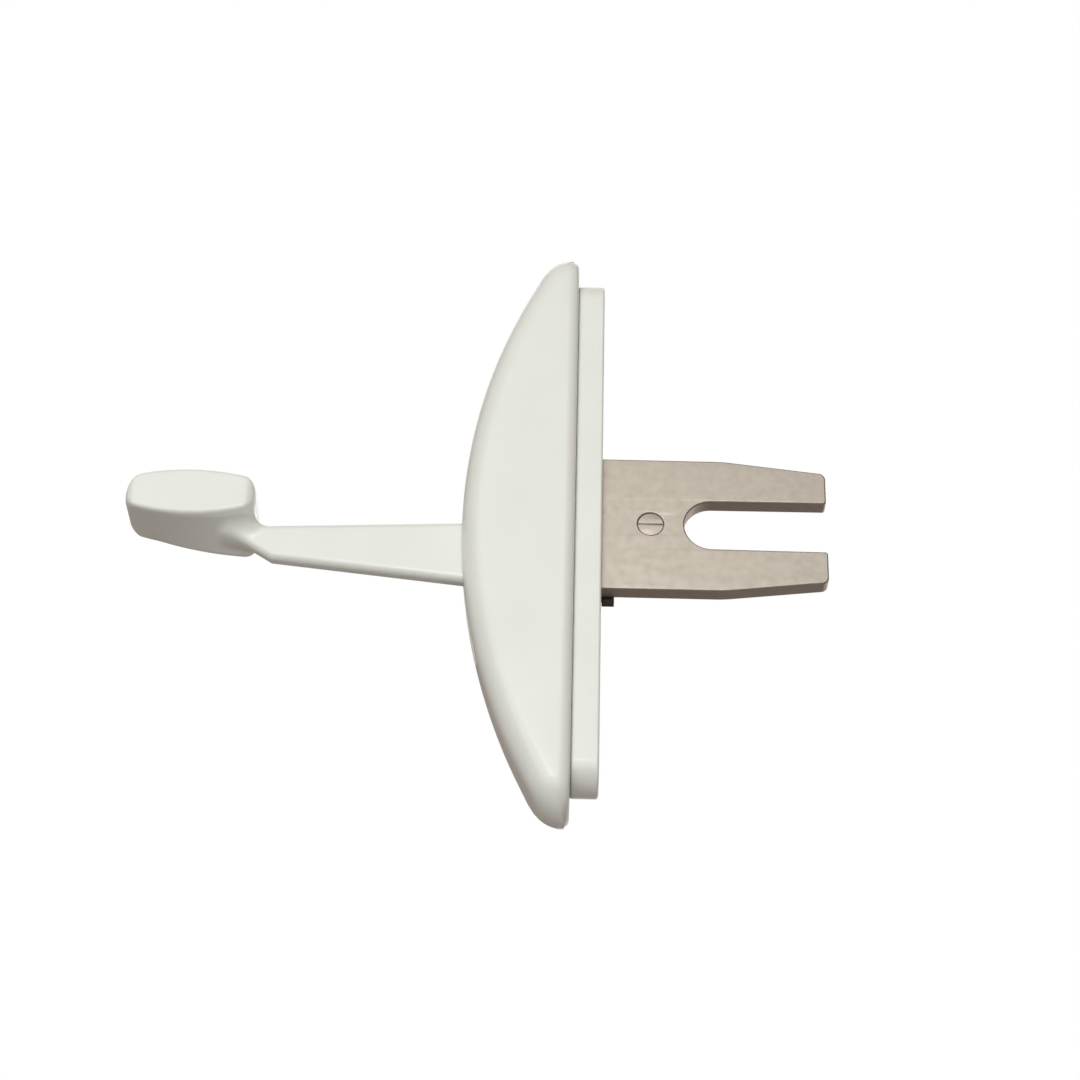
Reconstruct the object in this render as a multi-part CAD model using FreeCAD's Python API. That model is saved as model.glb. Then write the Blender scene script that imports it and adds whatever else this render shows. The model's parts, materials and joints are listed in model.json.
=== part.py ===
import FreeCAD, Part
import math
import os

# Forked lever latch, in millimetres.
#
# The origin is the centre of the base's back face, which lies on the frame. +X goes into
# the frame, the lever stands out towards -X, +Z is up along the cover and Y is across it.
# The lever, its tail plate and its fork turn together on a pin that is parallel to Y.

# --- base -------------------------------------------------------------------------------
BASE_LENGTH = 102.0
BASE_WIDTH = 9.4
BASE_THICKNESS = 4.7
BASE_BACK_ROUND = 0.4

# --- cover ------------------------------------------------------------------------------
COVER_END_OVERHANG = 5.3        # how far the cover passes the base at each end
COVER_SIDE_OVERHANG = 1.8       # how far it passes the base at each side
COVER_DEPTH = 19.4              # from its back edge to its crown
COVER_RIM = 4.0                 # straight wall at the ends, before the crown's arc
COVER_WALL = 1.5
COVER_TIP_WALL = 5.0            # solid length at each tip
COVER_FRONT_ROUND = 5.0
COVER_BACK_ROUND = 1.0

# --- pivot ------------------------------------------------------------------------------
PIVOT_STANDOFF = 5.8            # pivot axis in front of the base's front face
SWING_ANGLE = 45.0              # lever travel each way from straight out, in degrees
PIN_DIAMETER = 5.0
PIN_CHAMFER = 0.3
BUSH_WALL = 0.97
BUSH_RUNNING_GAP = 0.03         # radial, between the pin and the bush
FIT_GAP = 0.01                  # radial, between pieces that are pressed or screwed together
HUB_RADIUS = 8.0
CHEEK_RADIUS = 6.6
WASHER_RADIUS = 4.8
WASHER_BORE_GAP = 0.05
NEAR_WASHER_THICKNESS = 0.45
SPRING_HEIGHT = 0.4             # conical spring washer, as fitted
SPRING_THICKNESS = 0.25
SIDE_RUNNING_GAP = 0.05         # between the hub and a friction washer

# --- lever ------------------------------------------------------------------------------
ARM_THICKNESS = 3.0
ARM_SLOT_GAP = 0.4              # arm to the side of the cover's slot
ARM_SLOT_END_GAP = 0.8          # arm to the end of the cover's slot at the limit
ARM_SLOT_CORNER = 0.8
ARM_TOP_AT_CROWN = 0.3
ARM_BOTTOM_AT_CROWN = -11.5
ARM_REACH = 56.6                # from the base's back face to where the arm meets the pad
ARM_TOP_AT_PAD = -1.1
ARM_BOTTOM_AT_PAD = -7.9
WEB_HEEL_DEPTH = 11.3           # lowest point of the web between crown and hub
WEB_HEEL_X = -19.5
LEVER_REACH = 82.4              # from the base's back face to the end of the thumb pad
PAD_LENGTH = 22.7
PAD_WIDTH = 11.0
PAD_TOP = 7.6
PAD_END_DROP = 1.7              # how far the pad's top falls from its middle to its ends
PAD_CHIN = 0.3                  # height of the pad's underside at its free end
PAD_BELLY = -3.3                # and in its middle
PAD_HEEL = -4.7                 # and where the arm begins
PAD_NOSE_RADIUS = 3.4
PAD_CHIN_RADIUS = 1.8           # under the nose
PAD_HEEL_RADIUS = 2.0
PAD_EDGE_ROUND = 1.4

# --- fork and tail plate ----------------------------------------------------------------
FORK_THICKNESS = 3.2
FORK_HEIGHT = 26.2
FORK_REACH = 38.8               # from the base's back face to the prong ends
FORK_ROOT = 6.0                 # from the base's back face forward to the fork's root
FORK_TAPER_START = 21.0
FORK_TIP_HEIGHT = 22.0
FORK_TIP_ROUND = 1.2
FORK_SLOT_WIDTH = 9.5
FORK_SLOT_BOTTOM = 14.2
HUB_SCALLOP_GAP = 0.1           # fork root to the hub that it is cut around
TAIL_THICKNESS = 1.8
TAIL_SHOULDER = 2.3             # shoulder of the tail plate, behind the base
TAIL_SHOULDER_OVERHANG = 0.8    # how far the shoulder passes the fork's edges
TAIL_SHOULDER_BACK = 0.2        # where the shoulder starts, behind the base's back face
TAIL_TONGUE_REACH = 12.4
TAIL_TONGUE_HEIGHT = 10.0
TAIL_TONGUE_ROUND = 3.0
OUTER_RIVET_DIAMETER = 4.4
OUTER_RIVET_X = 8.4
OUTER_RIVET_RECESS = 0.12
OUTER_RIVET_SLIT = 0.25
INNER_RIVET_DIAMETER = 2.8
INNER_RIVET_X = -2.6
INNER_RIVET_EDGE = 3.0          # rivet centre to the fork's edge
HUB_RIVET_DIAMETER = 2.2
HUB_RIVET_RADIUS = 5.8

# --- slot in the base and its buffers ---------------------------------------------------
BASE_SLOT_GAP = 0.4             # fork and tail plate to the side of the base's slot
BUFFER_GAP = 0.3                # shoulder to the buffer face at the limit
BUFFER_MINIMUM = 1.5            # buffer length at the base's back face
BUFFER_FIT = 0.02

# --- mounting screw holes ---------------------------------------------------------------
MOUNT_END_DISTANCE = 7.0        # mounting hole centre to the end of the base
MOUNT_HOLE_DIAMETER = 4.4

# --- snap pegs that hold the cover to the base ------------------------------------------
PEG_DIAMETER = 2.6
PEG_LENGTH = 3.4                # how far a peg enters the base
PEG_TIP_CHAMFER = 0.4
PEG_BOSS_WALL = 1.3             # round the peg's root, inside the cover
GROMMET_DIAMETER = 4.6
GROMMET_FLANGE_DIAMETER = 5.8
GROMMET_FLANGE_THICKNESS = 0.8
GROMMET_BOTTOM_GAP = 0.3        # end of the peg to the grommet's closed end
PEG_SLOT_WALL = 1.4             # base between its slot and a grommet's flange

# --- worked out from the values above ---------------------------------------------------
SWING = math.radians(SWING_ANGLE)
PACK_THICKNESS = FORK_THICKNESS + TAIL_THICKNESS
PACK_HALF = PACK_THICKNESS / 2
JOINT_PLANE = -PACK_HALF + FORK_THICKNESS       # where fork and hub meet the tail plate
BASE_FRONT = -BASE_THICKNESS
PIVOT_X = BASE_FRONT - PIVOT_STANDOFF
PIN_RADIUS = PIN_DIAMETER / 2
BUSH_RADIUS = PIN_RADIUS + BUSH_RUNNING_GAP + BUSH_WALL
COVER_LENGTH = BASE_LENGTH + 2 * COVER_END_OVERHANG
COVER_WIDTH = BASE_WIDTH + 2 * COVER_SIDE_OVERHANG
CROWN_X = BASE_FRONT - COVER_DEPTH
CROWN_RISE = COVER_DEPTH - COVER_RIM
CROWN_RADIUS = ((COVER_LENGTH / 2) ** 2 + CROWN_RISE ** 2) / (2 * CROWN_RISE)
CROWN_CENTRE_X = CROWN_X + CROWN_RADIUS
NEAR_STACK = SIDE_RUNNING_GAP + NEAR_WASHER_THICKNESS + SPRING_HEIGHT
CHEEK_INNER = PACK_HALF + NEAR_STACK
WASHER_BORE = PIN_RADIUS + WASHER_BORE_GAP
MOUNT_Z = BASE_LENGTH / 2 - MOUNT_END_DISTANCE


def fork_edge_at_limit(depth, gap):
    """Height at this depth of a line beside the shoulder, with the lever at its limit."""
    half = FORK_HEIGHT / 2 + TAIL_SHOULDER_OVERHANG + gap
    return depth * math.tan(SWING) + half / math.cos(SWING)


BASE_SLOT_HALF = fork_edge_at_limit(-PIVOT_X, BUFFER_GAP) + BUFFER_MINIMUM
PEG_Z = BASE_SLOT_HALF + PEG_SLOT_WALL + GROMMET_FLANGE_DIAMETER / 2


# --- shape helpers ----------------------------------------------------------------------
def point(x, z):
    """Point in the middle plane."""
    return FreeCAD.Vector(x, 0, z)


def line(start, end):
    return Part.LineSegment(start, end).toShape()


def arc(start, middle, end):
    return Part.Arc(start, middle, end).toShape()


def plate(edges, y_low, y_high):
    """Closed outline in the XZ plane, made into a plate between two Y values."""
    face = Part.Face(Part.Wire(edges))
    face.translate(FreeCAD.Vector(0, y_low, 0))
    return face.extrude(FreeCAD.Vector(0, y_high - y_low, 0))


def polygon(corners):
    following = corners[1:] + corners[:1]
    return [line(a, b) for a, b in zip(corners, following)]


def rod_y(radius, x, z, y_low, y_high):
    base = FreeCAD.Vector(x, y_low, z)
    return Part.makeCylinder(radius, y_high - y_low, base, FreeCAD.Vector(0, 1, 0))


def rod_x(radius, z, x_low, x_high):
    base = FreeCAD.Vector(x_low, 0, z)
    return Part.makeCylinder(radius, x_high - x_low, base, FreeCAD.Vector(1, 0, 0))


def block(x_low, x_high, half_width, z_low, z_high):
    corner = FreeCAD.Vector(x_low, -half_width, z_low)
    return Part.makeBox(x_high - x_low, 2 * half_width, z_high - z_low, corner)


def stadium(half_width, half_length, x_low, x_high):
    """Round-ended bar along Z, between two X values."""
    end = half_length - half_width
    body = block(x_low, x_high, half_width, -end, end)
    return body.fuse([rod_x(half_width, z, x_low, x_high) for z in (-end, end)]).removeSplitter()


def ring(outer, bore, y_low, y_high):
    """Ring about the pivot axis."""
    disc = rod_y(outer, PIVOT_X, 0, y_low, y_high)
    return disc.cut(rod_y(bore, PIVOT_X, 0, y_low, y_high))


def edges_at_x(shape, x):
    """Edges that lie wholly in the plane at this X."""
    tolerance = 1e-4
    found = []
    for edge in shape.Edges:
        box = edge.BoundBox
        if abs(box.XMin - x) < tolerance and abs(box.XMax - x) < tolerance:
            found.append(edge)
    return found


# --- cover ------------------------------------------------------------------------------
def crown_profile(half_length, inset):
    """Side view of the cover: flat back, short end walls and one arc over the crown."""
    radius = CROWN_RADIUS - inset
    end_x = CROWN_CENTRE_X - math.sqrt(radius ** 2 - half_length ** 2)
    top = point(end_x, half_length)
    bottom = point(end_x, -half_length)
    crown = point(CROWN_CENTRE_X - radius, 0)
    back_top = point(BASE_FRONT, half_length)
    back_bottom = point(BASE_FRONT, -half_length)
    return [arc(bottom, crown, top), line(top, back_top), line(back_top, back_bottom),
            line(back_bottom, bottom)]


def crown_body(half_width, half_length, inset, front_round):
    """Crowned, round-ended body with its front edge rounded."""
    bar = stadium(half_width, half_length, CROWN_X, BASE_FRONT)
    lens = plate(crown_profile(half_length, inset), -half_width, half_width)
    body = bar.common(lens).removeSplitter()
    crown_faces = [face for face in body.Faces if is_crown_face(face)]
    front_edges = [edge for face in crown_faces for edge in face.Edges]
    return body.makeFillet(front_round, front_edges)


def is_crown_face(face):
    """The crown is the only cylinder in a crowned body whose axis is along Y."""
    surface = face.Surface
    return isinstance(surface, Part.Cylinder) and round(abs(surface.Axis.y)) == 1


def swung_edge_height(inner, outer, angle):
    """Height where an edge of the lever, turned about the pivot, meets the crown."""
    turned = []
    for x, z in (inner, outer):
        along, up = x - PIVOT_X, z
        turned.append((PIVOT_X + along * math.cos(angle) + up * math.sin(angle),
                       up * math.cos(angle) - along * math.sin(angle)))
    (x0, z0), (x1, z1) = turned
    run, rise = x1 - x0, z1 - z0
    offset = x0 - CROWN_CENTRE_X
    square = run ** 2 + rise ** 2
    half_linear = offset * run + z0 * rise
    constant = offset ** 2 + z0 ** 2 - CROWN_RADIUS ** 2
    step = (math.sqrt(half_linear ** 2 - square * constant) - half_linear) / square
    return z0 + step * rise


def arm_slot():
    """Slot in the crown that the arm swings in."""
    top_edge = ((CROWN_X, ARM_TOP_AT_CROWN), (-ARM_REACH, ARM_TOP_AT_PAD))
    bottom_edge = ((CROWN_X, ARM_BOTTOM_AT_CROWN), (-ARM_REACH, ARM_BOTTOM_AT_PAD))
    z_high = swung_edge_height(*top_edge, SWING) + ARM_SLOT_END_GAP
    z_low = swung_edge_height(*bottom_edge, -SWING) - ARM_SLOT_END_GAP
    half_width = ARM_THICKNESS / 2 + ARM_SLOT_GAP
    slot = block(CROWN_X - COVER_RIM, PIVOT_X, half_width, z_low, z_high)
    corners = [edge for edge in slot.Edges if edge.BoundBox.XLength > COVER_RIM]
    return slot.makeFillet(ARM_SLOT_CORNER, corners)


def make_cover():
    half_width = COVER_WIDTH / 2
    half_length = COVER_LENGTH / 2
    outer = crown_body(half_width, half_length, 0, COVER_FRONT_ROUND)
    outer = outer.makeFillet(COVER_BACK_ROUND, edges_at_x(outer, BASE_FRONT))
    cavity = crown_body(half_width - COVER_WALL, half_length - COVER_TIP_WALL, COVER_WALL,
                        COVER_FRONT_ROUND - COVER_WALL)
    boss_radius = PEG_DIAMETER / 2 + PEG_BOSS_WALL
    bosses = [rod_x(boss_radius, side * PEG_Z, CROWN_X, BASE_FRONT) for side in (-1, 1)]
    cover = outer.cut(cavity.cut(bosses)).cut(arm_slot())
    return cover.fuse([make_peg(side) for side in (-1, 1)]).removeSplitter()


def make_peg(side):
    """Snap peg behind a boss of the cover. Its root is inside the boss."""
    radius = PEG_DIAMETER / 2
    tip_x = BASE_FRONT + PEG_LENGTH
    peg = rod_x(radius, side * PEG_Z, BASE_FRONT - PEG_LENGTH, tip_x)
    return peg.makeChamfer(PEG_TIP_CHAMFER, edges_at_x(peg, tip_x))


# --- base -------------------------------------------------------------------------------
def make_cheek(y_low, y_high):
    """Upright ear that carries one end of the pivot pin."""
    ear = rod_y(CHEEK_RADIUS, PIVOT_X, 0, y_low, y_high)
    low_y, high_y = sorted((y_low, y_high))
    foot = Part.makeBox(BASE_FRONT - PIVOT_X, high_y - low_y, 2 * CHEEK_RADIUS,
                        FreeCAD.Vector(PIVOT_X, low_y, -CHEEK_RADIUS))
    return ear.fuse(foot)


def make_base():
    half_width = BASE_WIDTH / 2
    bar = stadium(half_width, BASE_LENGTH / 2, BASE_FRONT, 0)
    bar = bar.makeFillet(BASE_BACK_ROUND, edges_at_x(bar, 0))
    cheeks = [make_cheek(-half_width, -CHEEK_INNER), make_cheek(CHEEK_INNER, half_width)]
    base = bar.fuse(cheeks).removeSplitter()
    slot_half_width = PACK_HALF + BASE_SLOT_GAP
    base = base.cut(block(BASE_FRONT, 0, slot_half_width, -BASE_SLOT_HALF, BASE_SLOT_HALF))
    base = base.cut(rod_y(PIN_RADIUS + FIT_GAP, PIVOT_X, 0, -half_width, half_width))
    for side in (-1, 1):
        base = base.cut(rod_x(MOUNT_HOLE_DIAMETER / 2, side * MOUNT_Z, BASE_FRONT, 0))
        base = base.cut(grommet_body(side, FIT_GAP))
    return base


def make_buffer(side):
    """Wedge at one end of the base's slot. The fork's edge lies along its sloping face."""
    end = side * (BASE_SLOT_HALF - BUFFER_FIT)
    front_edge = side * fork_edge_at_limit(PIVOT_STANDOFF, BUFFER_GAP)
    back_edge = side * fork_edge_at_limit(-PIVOT_X, BUFFER_GAP)
    outline = [point(BASE_FRONT, end), point(BASE_FRONT, front_edge), point(0, back_edge),
               point(0, end)]
    half_width = PACK_HALF + BASE_SLOT_GAP - BUFFER_FIT
    return plate(polygon(outline), -half_width, half_width)


def grommet_body(side, gap):
    """Round body through the base, with a flange let into its back face."""
    z = side * PEG_Z
    body = rod_x(GROMMET_DIAMETER / 2 + gap, z, BASE_FRONT, 0)
    flange_x = -GROMMET_FLANGE_THICKNESS - gap
    return body.fuse(rod_x(GROMMET_FLANGE_DIAMETER / 2 + gap, z, flange_x, 0)).removeSplitter()


def make_grommet(side):
    bore = rod_x(PEG_DIAMETER / 2 + FIT_GAP, side * PEG_Z, BASE_FRONT,
                 BASE_FRONT + PEG_LENGTH + GROMMET_BOTTOM_GAP)
    return grommet_body(side, 0).cut(bore)


# --- pivot ------------------------------------------------------------------------------
def make_pin():
    half_length = BASE_WIDTH / 2
    pin = rod_y(PIN_RADIUS, PIVOT_X, 0, -half_length, half_length)
    ends = [edge for edge in pin.Edges if edge.BoundBox.YLength < PIN_CHAMFER]
    return pin.makeChamfer(PIN_CHAMFER, ends)


def make_spring_washer():
    """Conical ring between the near cheek and the near friction washer."""
    outer_y = -CHEEK_INNER + SPRING_HEIGHT
    inner_y = -CHEEK_INNER + SPRING_THICKNESS
    corners = [FreeCAD.Vector(PIVOT_X + WASHER_BORE, -CHEEK_INNER, 0),
               FreeCAD.Vector(PIVOT_X + WASHER_RADIUS, outer_y - SPRING_THICKNESS, 0),
               FreeCAD.Vector(PIVOT_X + WASHER_RADIUS, outer_y, 0),
               FreeCAD.Vector(PIVOT_X + WASHER_BORE, inner_y, 0)]
    section = Part.Face(Part.Wire(polygon(corners)))
    full_turn = 360
    return section.revolve(FreeCAD.Vector(PIVOT_X, 0, 0), FreeCAD.Vector(0, 1, 0), full_turn)


# --- lever ------------------------------------------------------------------------------
def make_arm():
    """Flat arm from the hub to the middle of the pad, with a keel under the pad's heel."""
    pad_middle_x = -LEVER_REACH + PAD_LENGTH / 2
    corners = [point(PIVOT_X, ARM_TOP_AT_CROWN), point(CROWN_X, ARM_TOP_AT_CROWN),
               point(-ARM_REACH, ARM_TOP_AT_PAD), point(-LEVER_REACH + PAD_LENGTH, 0),
               point(pad_middle_x, 0), point(pad_middle_x, PAD_BELLY / 2),
               point(-ARM_REACH, ARM_BOTTOM_AT_PAD), point(CROWN_X, ARM_BOTTOM_AT_CROWN),
               point(WEB_HEEL_X, -WEB_HEEL_DEPTH), point(PIVOT_X, -HUB_RADIUS)]
    arm = plate(polygon(corners), -ARM_THICKNESS / 2, ARM_THICKNESS / 2)
    seat = rod_y(HUB_RADIUS + HUB_SCALLOP_GAP, PIVOT_X, 0, JOINT_PLANE, PACK_HALF)
    return arm.cut(seat)


def make_pad():
    """Thumb pad: crowned top, and an underside that falls in an arc towards the arm."""
    left = -LEVER_REACH
    right = left + PAD_LENGTH
    middle = (left + right) / 2
    end_top = PAD_TOP - PAD_END_DROP
    outline = [arc(point(left, end_top), point(middle, PAD_TOP), point(right, end_top)),
               line(point(right, end_top), point(right, PAD_HEEL)),
               arc(point(right, PAD_HEEL), point(middle, PAD_BELLY), point(left, PAD_CHIN)),
               line(point(left, PAD_CHIN), point(left, end_top))]
    pad = plate(outline, -PAD_WIDTH / 2, PAD_WIDTH / 2)
    for x, z, radius in ((left, end_top, PAD_NOSE_RADIUS), (left, PAD_CHIN, PAD_CHIN_RADIUS),
                         (right, end_top, PAD_HEEL_RADIUS), (right, PAD_HEEL, PAD_HEEL_RADIUS)):
        corner = FreeCAD.Vector(x, 0, z)
        edge = min(pad.Edges, key=lambda each: each.CenterOfMass.distanceToPoint(corner))
        pad = pad.makeFillet(radius, [edge])
    sides = [face for face in pad.Faces if face.BoundBox.YLength < PAD_EDGE_ROUND]
    rims = [edge for face in sides for edge in face.Edges]
    return pad.makeFillet(PAD_EDGE_ROUND, rims)


def make_lever():
    hub = rod_y(HUB_RADIUS, PIVOT_X, 0, -PACK_HALF, JOINT_PLANE)
    lever = hub.fuse([make_arm(), make_pad()]).removeSplitter()
    lever = lever.cut(rod_y(BUSH_RADIUS + FIT_GAP, PIVOT_X, 0, -PACK_HALF, PACK_HALF))
    for side in (-1, 1):
        lever = lever.cut(hub_rivet_rod(side, FIT_GAP))
    return lever


def make_bush():
    return ring(BUSH_RADIUS, PIN_RADIUS + BUSH_RUNNING_GAP, -PACK_HALF, PACK_HALF)


# --- fork, tail plate and rivets --------------------------------------------------------
def outer_rivet_rod(gap):
    return rod_y(OUTER_RIVET_DIAMETER / 2 + gap, OUTER_RIVET_X, 0, -PACK_HALF, PACK_HALF)


def inner_rivet_rod(side, gap):
    z = side * (FORK_HEIGHT / 2 - INNER_RIVET_EDGE)
    return rod_y(INNER_RIVET_DIAMETER / 2 + gap, INNER_RIVET_X, z, -PACK_HALF, PACK_HALF)


def hub_rivet_rod(side, gap):
    z = side * HUB_RIVET_RADIUS
    return rod_y(HUB_RIVET_DIAMETER / 2 + gap, PIVOT_X, z, -PACK_HALF, PACK_HALF)


def make_fork():
    half = FORK_HEIGHT / 2
    tip = FORK_TIP_HEIGHT / 2
    slot = FORK_SLOT_WIDTH / 2
    slot_centre = FORK_SLOT_BOTTOM + slot
    outline = [line(point(FORK_REACH, -slot), point(slot_centre, -slot)),
               arc(point(slot_centre, -slot), point(FORK_SLOT_BOTTOM, 0),
                   point(slot_centre, slot)),
               line(point(slot_centre, slot), point(FORK_REACH, slot)),
               line(point(FORK_REACH, slot), point(FORK_REACH, tip)),
               line(point(FORK_REACH, tip), point(FORK_TAPER_START, half)),
               line(point(FORK_TAPER_START, half), point(-FORK_ROOT, half)),
               line(point(-FORK_ROOT, half), point(-FORK_ROOT, -half)),
               line(point(-FORK_ROOT, -half), point(FORK_TAPER_START, -half)),
               line(point(FORK_TAPER_START, -half), point(FORK_REACH, -tip)),
               line(point(FORK_REACH, -tip), point(FORK_REACH, -slot))]
    fork = plate(outline, -PACK_HALF, JOINT_PLANE)
    tips = [edge for edge in fork.Edges
            if edge.BoundBox.YLength > FORK_THICKNESS / 2
            and edge.BoundBox.XMin > FORK_REACH - FORK_TIP_ROUND]
    fork = fork.makeFillet(FORK_TIP_ROUND, tips)
    fork = fork.cut(rod_y(HUB_RADIUS + HUB_SCALLOP_GAP, PIVOT_X, 0, -PACK_HALF, JOINT_PLANE))
    fork = fork.cut(outer_rivet_rod(FIT_GAP))
    for side in (-1, 1):
        fork = fork.cut(inner_rivet_rod(side, FIT_GAP))
    return fork


def make_tail_plate():
    """Splice plate: round the pivot, a shoulder behind the base, then a narrow tongue."""
    half = FORK_HEIGHT / 2
    shoulder = half + TAIL_SHOULDER_OVERHANG
    tongue = TAIL_TONGUE_HEIGHT / 2
    upper = [(PIVOT_X, HUB_RADIUS), (-FORK_ROOT, half), (TAIL_SHOULDER_BACK, half),
             (TAIL_SHOULDER_BACK, shoulder), (TAIL_SHOULDER, shoulder),
             (TAIL_SHOULDER, tongue), (TAIL_TONGUE_REACH, tongue)]
    lower = [(x, -z) for x, z in reversed(upper)]
    outline = [point(x, z) for x, z in upper + lower]
    tail = plate(polygon(outline), JOINT_PLANE, PACK_HALF)
    tongue_corners = [edge for edge in tail.Edges
                      if edge.BoundBox.YLength > TAIL_THICKNESS / 2
                      and edge.BoundBox.XMin > TAIL_TONGUE_REACH - TAIL_TONGUE_ROUND]
    tail = tail.makeFillet(TAIL_TONGUE_ROUND, tongue_corners)
    tail = tail.fuse(rod_y(HUB_RADIUS, PIVOT_X, 0, JOINT_PLANE, PACK_HALF)).removeSplitter()
    tail = tail.cut(rod_y(BUSH_RADIUS + FIT_GAP, PIVOT_X, 0, JOINT_PLANE, PACK_HALF))
    tail = tail.cut(outer_rivet_rod(FIT_GAP))
    for side in (-1, 1):
        tail = tail.cut(inner_rivet_rod(side, FIT_GAP))
        tail = tail.cut(hub_rivet_rod(side, FIT_GAP))
    return tail


def make_outer_rivet():
    """Flush rivet of the tongue, a little below the fork's face and with a fine slit."""
    radius = OUTER_RIVET_DIAMETER / 2
    rivet = outer_rivet_rod(0)
    recess = rod_y(radius, OUTER_RIVET_X, 0, -PACK_HALF, -PACK_HALF + OUTER_RIVET_RECESS)
    slit_floor = -PACK_HALF + 2 * OUTER_RIVET_RECESS
    slit = Part.makeBox(2 * radius, slit_floor + PACK_HALF, OUTER_RIVET_SLIT,
                        FreeCAD.Vector(OUTER_RIVET_X - radius, -PACK_HALF,
                                       -OUTER_RIVET_SLIT / 2))
    return rivet.cut([recess, slit])


# --- all nodes --------------------------------------------------------------------------
def make_nodes():
    near_inner = -PACK_HALF - SIDE_RUNNING_GAP
    far_inner = PACK_HALF + SIDE_RUNNING_GAP
    return {
        "base": make_base(),
        "cover": make_cover(),
        "pivot_pin": make_pin(),
        "friction_washer_near": ring(WASHER_RADIUS, WASHER_BORE,
                                     near_inner - NEAR_WASHER_THICKNESS, near_inner),
        "friction_washer_far": ring(WASHER_RADIUS, WASHER_BORE, far_inner, CHEEK_INNER),
        "spring_washer": make_spring_washer(),
        "stop_buffer_upper": make_buffer(1),
        "stop_buffer_lower": make_buffer(-1),
        "cover_grommet_upper": make_grommet(1),
        "cover_grommet_lower": make_grommet(-1),
        "lever": make_lever(),
        "hub_bush": make_bush(),
        "tail_plate": make_tail_plate(),
        "fork": make_fork(),
        "fork_rivet_outer": make_outer_rivet(),
        "fork_rivet_inner_upper": inner_rivet_rod(1, 0),
        "fork_rivet_inner_lower": inner_rivet_rod(-1, 0),
        "hub_rivet_upper": hub_rivet_rod(1, 0),
        "hub_rivet_lower": hub_rivet_rod(-1, 0),
    }


os.makedirs("parts", exist_ok=True)
for name, shape in make_nodes().items():
    if not shape.isValid():
        raise RuntimeError(name + " is not a valid shape")
    shape.exportStep("parts/" + name + ".step")
    print(name, len(shape.Solids), round(shape.Volume, 2))
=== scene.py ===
import json
import math

import bmesh
import bpy
import numpy as np
from mathutils import Matrix, Vector
from mathutils.geometry import tessellate_polygon


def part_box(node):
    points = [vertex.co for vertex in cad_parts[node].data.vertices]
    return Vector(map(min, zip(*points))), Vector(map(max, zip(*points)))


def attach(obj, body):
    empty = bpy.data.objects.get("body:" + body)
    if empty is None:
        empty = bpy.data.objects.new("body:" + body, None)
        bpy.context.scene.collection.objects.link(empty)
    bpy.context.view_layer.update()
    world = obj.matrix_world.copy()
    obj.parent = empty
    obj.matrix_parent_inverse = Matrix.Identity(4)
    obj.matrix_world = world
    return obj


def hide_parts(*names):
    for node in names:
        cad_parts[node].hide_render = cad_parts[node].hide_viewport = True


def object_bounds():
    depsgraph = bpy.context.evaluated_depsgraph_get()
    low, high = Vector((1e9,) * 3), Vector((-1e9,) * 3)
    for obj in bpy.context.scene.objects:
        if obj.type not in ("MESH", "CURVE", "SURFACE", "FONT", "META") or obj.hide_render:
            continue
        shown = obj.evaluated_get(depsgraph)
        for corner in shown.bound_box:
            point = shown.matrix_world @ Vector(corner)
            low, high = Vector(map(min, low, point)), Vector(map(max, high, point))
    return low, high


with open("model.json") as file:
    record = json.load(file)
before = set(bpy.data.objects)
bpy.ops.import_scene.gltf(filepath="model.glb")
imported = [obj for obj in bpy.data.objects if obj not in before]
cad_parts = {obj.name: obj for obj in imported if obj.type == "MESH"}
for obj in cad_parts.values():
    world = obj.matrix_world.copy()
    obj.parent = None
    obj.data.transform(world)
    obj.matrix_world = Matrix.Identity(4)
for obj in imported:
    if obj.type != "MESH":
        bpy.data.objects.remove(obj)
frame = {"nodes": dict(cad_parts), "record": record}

# Forked lever latch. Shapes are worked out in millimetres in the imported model's frame and
# written to the meshes in metres. +X goes into the frame, +Z is up, Y is across the latch.
MM = 0.001
CAD_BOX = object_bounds()


def box_mm(node):
    low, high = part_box(node)
    return low / MM, high / MM


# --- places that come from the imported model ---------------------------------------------
COVER_LOW, COVER_HIGH = box_mm("cover")
BASE_LOW, BASE_HIGH = box_mm("base")
FORK_LOW, FORK_HIGH = box_mm("fork")
TAIL_LOW, TAIL_HIGH = box_mm("tail_plate")
LEVER_LOW, LEVER_HIGH = box_mm("lever")
PIN_LOW, PIN_HIGH = box_mm("pivot_pin")
GROMMET_LOW, GROMMET_HIGH = box_mm("cover_grommet_upper")
RIVET_LOW, RIVET_HIGH = box_mm("fork_rivet_outer")
INNER_RIVET_LOW, INNER_RIVET_HIGH = box_mm("fork_rivet_inner_upper")
HUB_RIVET_LOW, HUB_RIVET_HIGH = box_mm("hub_rivet_upper")
BUSH_LOW, BUSH_HIGH = box_mm("hub_bush")
_, BUFFER_HIGH = box_mm("stop_buffer_upper")
SCREW_MOUNT = next(m for m in frame["record"]["mounts"] if m["name"] == "mounting_screws")
BASE_FRONT = GROMMET_LOW.x
PIVOT_X = (PIN_LOW.x + PIN_HIGH.x) / 2
JOINT_PLANE = TAIL_LOW.y            # where fork and hub lie against the tail plate
FIT_GAP = 0.01                      # between a hole and the pin or rivet in it


# --- mesh helpers -----------------------------------------------------------------------
MERGE_DISTANCE = 0.002
SHORTEST_EDGE = 0.001


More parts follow.
